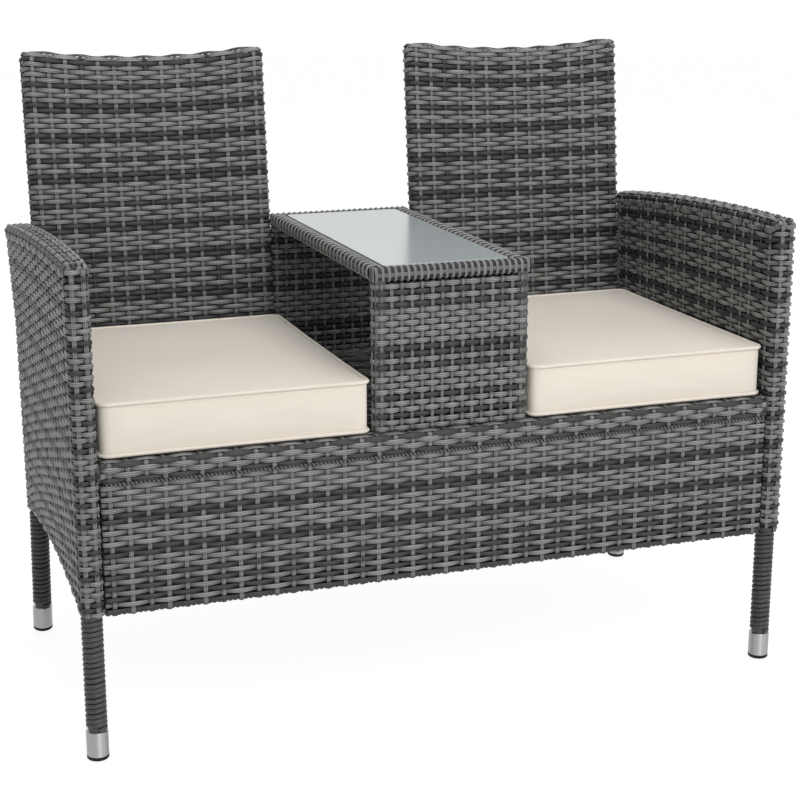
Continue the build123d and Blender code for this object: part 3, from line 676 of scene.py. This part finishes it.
def arm_weave(name, side):
    """One woven arm and side panel."""
    half = arm_width / 2
    ring = Ring(arm_width - 2 * skin_middle, arm_depth - 2 * skin_middle, arm_corner)
    base = apron_bottom + 0.002
    cap_depth = 0.0165
    cap_pitch = 0.0150
    cap_bend = 0.0065
    cap_margin = 0.0038
    front_drop, rear_drop = 0.0070, 0.0080
    post_depth, post_blend = 0.008, 0.016
    post_stakes = np.array([-0.0075, 0.0075])
    side_margin = 0.022
    tuck = 0.0034
    nominal_top = arm_mid_height - cap_depth

    def put(p, y, z):
        lean = arm_lean(y, z) * (p + half) / arm_width
        rise = (z - apron_bottom) / (arm_rear_height - apron_bottom)
        rake = arm_rake * (y - arm_front) / arm_depth * rise
        return columns(side * (leg_x + p + lean), y + rake, z)

    def wall_top(y):
        """Upper edge of the side weave, under the cap and behind its ends."""
        front_top, rear_top = arm_curve(arm_front) - front_drop, arm_curve(arm_rear) - rear_drop
        top = arm_curve(y) - cap_depth
        top = front_top + (top - front_top) * soft_step((y - arm_front - post_depth) / post_blend)
        return rear_top + (top - rear_top) * soft_step((arm_rear - post_depth - y) / post_blend)

    def wall(s, t):
        p, q, out_p, out_q = ring.at(s)
        y = arm_middle + q
        arch = side_arch * (1 - (2 * q / arm_depth) ** 2)
        smooth_top = arm_curve(y) - cap_depth
        z = base + t * (nominal_top - base) + (smooth_top - nominal_top) * t**4 + arch * (1 - t) ** 4
        z = z + (wall_top(y) - smooth_top) * t**12
        return put(p, y, z), unit(columns(side * out_p, out_q, 0.0))

    # The cap's line from front to rear, and its section
    front_y, rear_y = arm_front + arm_front_radius, arm_rear - arm_rear_radius
    front_z, rear_z = arm_curve(front_y) - arm_front_radius, arm_curve(rear_y) - arm_rear_radius
    middle_y = np.linspace(front_y, rear_y, 40)
    middle_z = arm_curve(middle_y)
    middle_ways = unit(columns(-np.gradient(middle_z, middle_y), 1.0))
    rise = np.linspace(0.62, math.pi / 2, 8)
    fall = math.pi / 2 - rise[::-1]
    front_ways = columns(-np.cos(rise), np.sin(rise))
    rear_ways = columns(np.sin(fall), np.cos(fall))
    profile = np.concatenate([
        [[arm_front + tuck, front_z]], (np.array([front_y, front_z]) + arm_front_radius * front_ways)[:-1],
        columns(middle_y, middle_z),
        (np.array([rear_y, rear_z]) + arm_rear_radius * rear_ways)[1:], [[arm_rear - tuck, rear_z]],
    ])
    facings = np.concatenate([[[-1.0, 0.0]], front_ways[:-1], middle_ways, rear_ways[1:], [[1.0, 0.0]]])
    total = path_length(profile)
    turn = np.linspace(0, math.pi / 2, 10)
    cap_half = half - skin_middle
    bend_ways = columns(-np.cos(turn), np.sin(turn))
    bend = np.array([cap_bend - cap_half, -cap_bend]) + cap_bend * bend_ways
    section = np.concatenate([
        [[-cap_half, -cap_depth]], bend, bend[::-1] * [-1, 1], [[cap_half, -cap_depth]],
    ])
    section_ways = np.concatenate([[[-1.0, 0.0]], bend_ways, bend_ways[::-1] * [-1, 1], [[1.0, 0.0]]])
    girth = path_length(section)

    def cap(s, t):
        place, way = follow(profile, facings, s)
        across, out = follow(section, section_ways, girth / 2 + t)
        y, z = (place - way * (skin_middle - across[:, 1])[:, None]).T
        facing = columns(side * out[:, 0], way[:, 0] * out[:, 1], way[:, 1] * out[:, 1])
        return put(across[:, 0], y, z), unit(facing)

    places = evenly(-arm_depth / 2 + side_margin, arm_depth / 2 - side_margin, stake_pitch)
    rows = int(round((arm_front_height - apron_bottom) / row_pitch))
    tones = rhythm(stake_rhythm, len(places), 1)
    stake_tones = [light, light] + tones + [light, light] + tones[::-1]
    row_tones = rhythm(row_rhythm, rows, 2 if side < 0 else 9)
    strands = Strands()
    weave(strands, wall, ring.stakes(post_stakes, places), middles(rows), row_tones, stake_tones,
          ring.length, steps=3)
    strands.line(wall, ring.round(60), np.linspace(0, 0.99, 14), shade_sheet_depth, closed=True)
    strands.build(f"{name}_arm_strands", [f"{name}_arm_weave"])

    border = Strands()
    crossings = evenly(0.004, total - 0.004, cap_pitch)
    lengthwise = np.linspace(cap_margin - girth / 2, girth / 2 - cap_margin, 8)
    weave(border, cap, crossings, lengthwise, [light, dark, light, light, dark, light, dark, light],
          rhythm(cap_rhythm, len(crossings)), margin=0.003, width=0.0063, waist=0.0047,
          upright=0.0056, lift=0.0017, counter=0.0012)
    section_places = np.linspace(shade_sheet_inset - girth / 2, girth / 2 - shade_sheet_inset, 15)
    border.line(cap, np.linspace(0, total, 60), section_places, 0.0022)
    border.build(f"{name}_arm_border")


arm_weave("left", -1)
arm_weave("right", 1)


# Front: apron with a wound lower edge, seat-front band, laced seam and seat deck
def front_weave():
    """The apron, the band over the front rail with its lacing, and the seat deck."""
    low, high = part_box("front_apron_weave")
    face = low.y + skin_middle
    start = low.z + 0.0035
    fold = 0.0022
    hem = 0.012
    turn = np.linspace(0, math.pi, 9)
    edge_x = high.x - fold
    fold_ways = columns(np.sin(turn), -np.cos(turn))
    right_fold = np.array([edge_x, face + fold]) + fold * fold_ways
    right_fold = np.concatenate([right_fold, [[edge_x - hem, face + 2 * fold]]])
    right_ways = np.concatenate([fold_ways, [[0.0, 1.0]]])
    plan = np.concatenate([right_fold[::-1] * [-1, 1], right_fold])
    plan_ways = np.concatenate([right_ways[::-1] * [-1, 1], right_ways])

    def sheet(s, t):
        place, way = follow(plan, plan_ways, s)
        z = start + t * (high.z - start)
        return columns(place[:, 0], place[:, 1], z), columns(way[:, 0], way[:, 1], 0.0)

    def flat(s, t):
        return columns(s, face, start + t * (high.z - start)), np.broadcast_to(forward, (len(s), 3))

    stake_x = evenly(low.x + stake_margin, high.x - stake_margin, stake_pitch)
    stakes = path_length(right_fold) + stake_x + edge_x
    shade_sheet_x = np.linspace(low.x + shade_sheet_inset, high.x - shade_sheet_inset, 30)
    rows = int(round((high.z - start) / row_pitch))
    apron = Strands()
    weave(apron, sheet, stakes, middles(rows), rhythm(apron_rhythm, rows), [light] * len(stakes),
          margin=stake_margin - fold + hem + math.pi * fold, end_steps=14, foot=0.85)
    apron.line(flat, shade_sheet_x, np.linspace(0, 1, 5), flat_shade_sheet_depth)
    # Dark strips at both ends of the apron: painted shade in the gaps beside the arms.
    edge_inset, edge_depth, edge_rise = 0.0018, 0.0062, 0.026
    for edge in (low.x + edge_inset, high.x - edge_inset):
        foot, head = (edge, face + edge_depth, start), (edge, face + edge_depth, high.z + edge_rise)
        apron.add(np.linspace(foot, head, 20), forward, 0.0076, 0.0050, dark, crest=0.1)

    def wound(strands, inset, y, z, pitch, *shape):
        """A strand wound along the width of the front."""
        ends = np.array([[low.x + inset, y, z], [high.x - inset, y, z]])
        coil(strands, *ends, (high.x - low.x) / pitch, *shape)

    wound(apron, 0.002, face + 0.0046, low.z + 0.0052, 0.0072, 0.0044, 0.0070, 0.0018, dark, 12)
    apron.build("apron_strands", ["front_apron_weave"])

    band_low, band_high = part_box("seat_front_band")
    turn = np.linspace(0, math.pi / 2, 7)
    radius = 0.0045
    top = band_high.z - skin_middle
    bend_ways = columns(-np.cos(turn), np.sin(turn))
    section = np.concatenate([
        [[face, band_low.z + 0.0015]], np.array([face + radius, top - radius]) + radius * bend_ways,
        [[band_high.y, top]],
    ])
    ways = np.concatenate([[[-1.0, 0.0]], bend_ways, [[0.0, 1.0]]])
    total = path_length(section)

    def fold_over(s, t):
        place, way = follow(section, ways, t * total)
        return columns(s, place[:, 0], place[:, 1]), columns(0.0, way[:, 0], way[:, 1])

    band = Strands()
    weave(band, fold_over, stake_x, middles(5), [dark, light, light, dark, light], [light] * len(stake_x),
          margin=row_overhang, width=0.0084)
    band.line(fold_over, shade_sheet_x, np.linspace(0, 1, 9), flat_shade_sheet_depth)
    seam_inset, seam = 0.003, band_low.z - 0.0002
    ends = np.linspace((low.x + seam_inset, face, seam), (high.x - seam_inset, face, seam), 40)
    # A dark strand along the seam, darkened further as painted shade.
    band.add(ends, forward, 0.0046, 0.0030, dark, crest=0.2)
    wound(band, seam_inset, face, seam, 0.0056, 0.0023, 0.0025, 0.0014, 0.35, 12)
    band.build("seat_band_strands", ["seat_front_band"])

    deck_low, deck_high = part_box("seat_deck_weave")
    table_low, table_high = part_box("table_rim_wrap")
    level = deck_high.z - 0.0022
    back_line = back_face_y - 0.001
    deck = Strands()
    for left, right, front, rear in (
        (deck_low.x, deck_high.x, deck_low.y, back_line),
        (table_low.x, table_high.x, back_line, deck_high.y),
    ):
        def lie(s, t, front=front, rear=rear):
            return columns(s, front + t * (rear - front), level), np.broadcast_to(up, (len(s), 3))

        stakes = evenly(left + stake_margin, right - stake_margin, stake_pitch)
        rows = int(round((rear - front) / row_pitch))
        weave(deck, lie, stakes, middles(rows), rhythm(row_rhythm, rows, 5), [light] * len(stakes),
              margin=row_overhang, steps=3, end_steps=3, lift=0.0011)
        shade_sheet_x = np.linspace(left + shade_sheet_inset, right - shade_sheet_inset, 8)
        deck.line(lie, shade_sheet_x, np.linspace(0, 1, 5), 0.0010)
    deck.build("seat_deck_strands", ["seat_deck_weave"])


front_weave()


# Table: woven front and back panels, wound rim and frosted glass
def table_panel(name, node, start, lead, flare):
    """One woven table panel, its rows right round; lead and flare fill out its foot."""
    low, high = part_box(node)
    panel_stake_pitch, panel_row_pitch, panel_corner, panel_margin = 0.0154, 0.0085, 0.0080, 0.0105
    ring = Ring(high.x - low.x - 2 * skin_middle, high.y - low.y - 2 * skin_middle, panel_corner)
    middle = (low.y + high.y) / 2

    def wall(s, t):
        p, q, out_p, out_q = ring.at(s)
        x = p * (1 + flare * (1 - t) / (ring.across / 2))
        y = middle + q - lead * (1 - t) * (0.5 - q / ring.deep)
        return columns(x, y, low.z + t * (high.z - low.z)), unit(columns(out_p, out_q, 0.0))

    edge = ring.across / 2 - panel_margin
    places = np.linspace(-edge, edge, 2 * int(round(edge / panel_stake_pitch)) + 1)
    stakes = ring.stakes(places, np.array([0.0]))
    rows = int(round((high.z - low.z) / panel_row_pitch))
    strands = Strands()
    weave(strands, wall, stakes, middles(rows), rhythm(panel_rhythm, rows, start), [light] * len(stakes),
          ring.length, upright=0.0054, width=0.0079, waist=0.0061)
    strands.line(wall, ring.round(24), np.linspace(0, 1, 4), shade_sheet_depth, closed=True)
    strands.build(name, [node])


def table_rim():
    """Strands wound round the table's rim, with one laid along each outer face."""
    low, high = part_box("table_rim_wrap")
    size = high.z - low.z
    half = size / 2
    ring = Ring(size - 0.0024, size - 0.0024, 0.0062)
    middle = up * (low.z + high.z) / 2
    s = np.linspace(0, ring.length, 25)[:-1]
    p, q, out_p, out_q = ring.at(s)
    wrap_thickness, between_thickness, between_depth = 0.0024, 0.0012, 0.0011
    end_inset, end_spacing = 0.0012, 0.0053
    rim = Strands()

    def side_run(first, last, cross_middle, along, outward, pitch, lean, share):
        """Wraps, the dark strands between them and the laid strand along one side of the rim."""
        facing = unit(out_p[:, None] * outward + out_q[:, None] * up)
        round_rim = p[:, None] * outward + q[:, None] * up
        round_rim = round_rim + lean * np.sin(2 * math.pi * s / ring.length)[:, None] * along
        places = evenly(first + pitch / 2, last - pitch / 2, pitch)
        for i, place in enumerate(places):
            loop = along * place + outward * cross_middle + middle + round_rim
            rim.add(loop + facing * 0.0002, facing, share * pitch, wrap_thickness, light, True)
            if i + 1 < len(places):
                loop = loop + along * (pitch / 2)
                width = (1.2 - share) * pitch
                # Dark strands between the wraps, darkened further as painted shade.
                rim.add(loop - facing * between_depth, facing, width, between_thickness, dark, True, 0.3)
        line = np.linspace(places[0], places[-1], 40)[:, None] * along
        line = line + outward * (cross_middle + ring.across / 2 - 0.0004) + middle
        # The laid strand is a little darkened as painted shade.
        rim.add(line, outward, 0.0064, 0.0014, light, crest=0.55)

    def close_end(end, cross_middle, along, outward):
        """Upright strands over an end of the rim's front or rear side."""
        upright = np.linspace(-0.42, 0.42, 9)[:, None] * size * up
        for offset, tone in ((-end_spacing, light), (0.0, 0.5), (end_spacing, light)):
            centre = along * (abs(end) - end_inset) + outward * (cross_middle + offset) + middle
            # These are a little darkened as painted shade.
            rim.add(centre + upright, along, 0.0056, 0.0018, tone, crest=0.8)

    for end, way in ((low.x, -rightward), (high.x, rightward)):
        close_end(end, -(low.y + half), way, forward)
        close_end(end, high.y - half, way, rearward)
    cross_wraps, long_wraps = (0.0090, 0.0008, 0.50), (0.0160, 0.0016, 0.36)
    side_run(low.x, high.x, -(low.y + half), rightward, forward, *cross_wraps)
    side_run(low.x, high.x, high.y - half, rightward, rearward, *cross_wraps)
    side_run(low.y + size, high.y - size, high.x - half, rearward, rightward, *long_wraps)
    side_run(low.y + size, high.y - size, -(low.x + half), rearward, -rightward, *long_wraps)
    rim.build("table_rim_strands", ["table_rim_wrap"])


def glass():
    """The glass: a pane with rounded corners and softly rounded edges."""
    low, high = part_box("table_glass")
    corner, edge = 0.006, 0.0012
    ring = Ring(high.x - low.x, high.y - low.y, corner)
    p, q, out_p, out_q = ring.at(ring.walked[:-1])
    middle_x, middle_y = (low.x + high.x) / 2, (low.y + high.y) / 2
    turn = np.linspace(0, math.pi / 2, 5)
    layers = [(edge * (1 - math.sin(t)), low.z + edge * (1 - math.cos(t))) for t in turn]
    layers += [(edge * (1 - math.sin(t)), high.z - edge * (1 - math.cos(t))) for t in turn[::-1]]
    rings = [columns(middle_x + p - out_p * inset, middle_y + q - out_q * inset, z) for inset, z in layers]
    piece = loft("glass_pane", np.stack(rings), "glass_pane", "frosted_glass", ["table_glass"])
    piece.modifiers.new("flat_faces", "WEIGHTED_NORMAL")


table_panel("table_front_strands", "table_front_weave", 0, 0.0, 0.0)
table_panel("table_back_strands", "table_back_weave", 5, 0.012, 0.006)
table_rim()
glass()


# Legs: windings, brushed caps and foot plugs
def lathe(name, foot, way, profile, slot, node):
    """A round piece turned about a leg's axis, from radius and height pairs."""
    first = unit(np.cross(way, rearward))
    second = np.cross(way, first)
    angle = np.linspace(0, 2 * math.pi, 48, endpoint=False)[:, None]
    circle = first * np.cos(angle) + second * np.sin(angle)
    rings = np.stack([foot + way * height + radius * circle for radius, height in profile])
    piece = loft(name, rings, "bench", slot, [node])
    piece.modifiers.new("flat_faces", "WEIGHTED_NORMAL")


rear_foot_y = next(m["pos_m"][1] for m in frame["record"]["mounts"] if m["name"] == "left_rear_foot")
rear_splay = np.array([0.0, -0.030, 0.236])


def leg_dress(side, row):
    """The winding, cap and foot of one leg."""
    node = f"{'left' if side < 0 else 'right'}_{row}"
    cap_low, cap_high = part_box(f"{node}_leg_cap")
    if row == "front":
        way, foot_y = up, (cap_low.y + cap_high.y) / 2
    else:
        way, foot_y = unit(rear_splay), rear_foot_y
    foot = np.array([side * leg_x, foot_y, 0.0])
    cap, bead, cap_foot = 0.015, 0.0008, 0.0080
    lathe(f"{node}_cap", foot, way, [
        (cap - 0.0035, cap_foot + 0.0005), (cap - bead, cap_foot), (cap, cap_foot + bead),
        (cap, cap_top_height - bead), (cap - bead, cap_top_height), (cap - 0.0015, cap_top_height),
        (cap - 0.0036, cap_top_height - 0.0004),
    ], "cap_steel", f"{node}_leg_cap")
    lathe(f"{node}_foot", foot, way, [
        (0.0040, 0.0), (0.0058, 0.0003), (0.0064, 0.0012), (0.0066, 0.0024), (0.0110, 0.0026),
        (0.0140, 0.0032), (cap, 0.0044), (cap, 0.0077), (cap - 0.0012, cap_foot), (0.0085, 0.0082),
        (0.0085, 0.0300),
    ], "foot_plastic", f"{node}_foot_plug")
    wind = Strands()
    start, end = cap_top_height + 0.003, (apron_bottom + 0.004) / way[2]
    coil(wind, foot + way * start, foot + way * end, 22.5, 0.0130, 0.0074, 0.0034, light, 26, 0.0004)
    wind.build(f"{node}_leg_winding", [f"{node}_leg_wrap"], "strand_dark")


for side in (-1, 1):
    for row in ("front", "rear"):
        leg_dress(side, row)


# Cushions: a boxed cover swollen by its filling, with piped edges
piping_radius = 0.0027
cushion_crown = 0.013
cushion_draw = 0.002
outline_points = 240


def cushion_outline(low, high, inset, corner):
    """A cushion's outline: sides drawn in between rounded corners."""
    ring = Ring(high.x - low.x - 2 * inset, high.y - low.y - 2 * inset, corner)
    p, q, out_p, out_q = ring.at(np.linspace(0, ring.length, outline_points + 1)[:-1])
    along_p = 1 - (2 * p / ring.across) ** 2
    along_q = 1 - (2 * q / ring.deep) ** 2
    pull = cushion_draw * (np.abs(out_q) * along_p + np.abs(out_p) * along_q)
    return (low.x + high.x) / 2 + p - out_p * pull, (low.y + high.y) / 2 + q - out_q * pull


def cushion(name):
    """One seat cushion with its piping."""
    low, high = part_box(f"{name}_cushion")
    bottom, top = low.z + 0.001, high.z - cushion_crown
    body = f"{name}_seat_cushion"
    outline = cushion_outline(low, high, 0.0020, 0.012)
    rings = np.stack([columns(*outline, bottom), columns(*outline, top)])
    piece = loft(body, rings, body, "cushion_fabric", [f"{name}_cushion"])
    remesh = piece.modifiers.new("remesh", "REMESH")
    remesh.mode = "VOXEL"
    remesh.voxel_size = 0.005
    apply_modifier(piece, "remesh")
    swell(piece, low, high, bottom, top)
    piece.data.shade_smooth()
    soften = piece.modifiers.new("soften", "SUBSURF")
    soften.levels = 1
    soften.render_levels = 1
    apply_modifier(piece, "soften")
    piece.data.shade_smooth()
    for edge, z in (("upper", top - 0.0015), ("lower", bottom + 0.0028)):
        path = columns(*cushion_outline(low, high, 0.0018, 0.0122), z)
        pipe(f"{name}_cushion_{edge}_piping", path, body)


def apply_modifier(piece, modifier):
    """Makes a modifier's result the piece's own mesh."""
    graph = bpy.context.evaluated_depsgraph_get()
    made = bpy.data.meshes.new_from_object(piece.evaluated_get(graph))
    piece.modifiers.remove(piece.modifiers[modifier])
    old = piece.data
    piece.data = made
    bpy.data.meshes.remove(old)


def corner_places(mesh):
    """A mesh's vertices, as rows."""
    places = np.empty(len(mesh.vertices) * 3, np.float32)
    mesh.vertices.foreach_get("co", places)
    return places.reshape(-1, 3).astype(float)


def swell(piece, low, high, bottom, top):
    """Fills a cover: its faces rise between seams that stay put."""
    mesh = piece.data
    rest = corner_places(mesh)
    x, y, z = rest.T
    edge = np.minimum(np.abs(z - top), np.abs(z - bottom))
    inward = np.minimum.reduce([x - low.x, high.x - x, y - low.y, high.y - y])
    seam = (edge < 0.004) & (inward < 0.011)
    held = seam | (z < bottom + 0.002)
    group = piece.vertex_groups.new(name="held")
    group.add(np.nonzero(held)[0].tolist(), 1.0, "REPLACE")
    cloth = piece.modifiers.new("cloth", "CLOTH")
    settings = cloth.settings
    settings.quality = 6
    settings.mass = 0.4
    settings.tension_stiffness = 12
    settings.compression_stiffness = 12
    settings.shear_stiffness = 6
    settings.bending_stiffness = 3.0
    settings.use_pressure = True
    settings.uniform_pressure_force = 4.0
    settings.effector_weights.gravity = 0.0
    settings.vertex_group_mass = "held"
    cloth.collision_settings.use_self_collision = False
    for step in range(1, 21):
        scene.frame_set(step)
    graph = bpy.context.evaluated_depsgraph_get()
    shift = corner_places(piece.evaluated_get(graph).data) - rest
    piece.modifiers.remove(cloth)
    scene.frame_set(1)
    length = np.linalg.norm(shift, axis=1, keepdims=True)
    longest = 0.0105
    shift = shift * np.minimum(1.0, longest / np.maximum(length, 1e-9))
    mesh.vertices.foreach_set("co", (rest + shift).astype(np.float32).ravel())
    mesh.update()


def pipe(name, path, body):
    """A round piping cord sewn along a closed path."""
    beside = np.cross(unit(np.roll(path, -1, 0) - np.roll(path, 1, 0)), up)
    angle = np.linspace(0, 2 * math.pi, 10, endpoint=False)[None, :, None]
    rings = path[:, None] + piping_radius * (beside[:, None] * np.cos(angle) + up * np.sin(angle))
    loft(name, rings, body, "cushion_fabric", closed=True)


cushion("left")
cushion("right")


# Stage: pale floor, soft light and the camera
def turn_to(piece, way):
    """Points a lamp or the camera along a way."""
    scene.collection.objects.link(piece)
    piece.rotation_mode = "QUATERNION"
    piece.rotation_quaternion = Vector(way).to_track_quat("-Z", "Y")


def stage():
    """Floor, world, lamps and camera."""
    bpy.ops.mesh.primitive_circle_add(vertices=96, radius=14, fill_type="NGON", location=(0, 0, 0))
    floor = bpy.context.object
    floor.name = "floor"
    paint = new_paint("pale_floor")
    paint.finish(Base_Color=(0.90, 0.90, 0.90, 1), Roughness=0.9)
    glow = paint.add("ShaderNodeEmission", Strength=1.20)
    mix = paint.nodes.new("ShaderNodeMixShader")
    sources = (paint.times(paint.seen(), 0.73), paint.shader.outputs[0], glow.outputs[0])
    for socket, value in zip(mix.inputs, sources):
        paint.put(socket, value)
    paint.put(paint.nodes["Material Output"].inputs["Surface"], mix.outputs[0])
    floor.data.materials.append(paint.owner)

    scene.world = bpy.data.worlds.new("studio")
    sky = Paint(scene.world, "Background")
    sky.finish(Color=(1, 1, 1, 1), Strength=sky.scaled(sky.seen(), 0.57, 0.43))

    aim = np.array([0.0, 0.0, 0.45])
    for name, place, size, power in (
        ("key", (0.3, -3.5, 2.6), 2.4, 78.0),
        ("fill", (2.6, -2.4, 1.8), 2.2, 14.0),
        ("top", (0.2, -0.5, 3.4), 2.6, 30.0),
        ("rear", (0.4, 3.0, 2.8), 2.6, 26.0),
    ):
        lamp = bpy.data.lights.new(name, "AREA")
        lamp.size = size
        lamp.energy = power
        lamp_object = bpy.data.objects.new(name, lamp)
        lamp_object.location = place
        turn_to(lamp_object, aim - np.array(place))

    camera = bpy.data.cameras.new("camera")
    camera.sensor_width = 36.0
    camera.lens = 78.8
    camera_object = bpy.data.objects.new("camera", camera)
    camera_object.location = (-0.8547, -2.4257, 1.0765)
    yaw, pitch = math.radians(19.77), math.radians(14.95)
    level = math.cos(pitch)
    turn_to(camera_object, (math.sin(yaw) * level, math.cos(yaw) * level, -math.sin(pitch)))
    scene.camera = camera_object
    scene.view_settings.view_transform = "Standard"


stage()
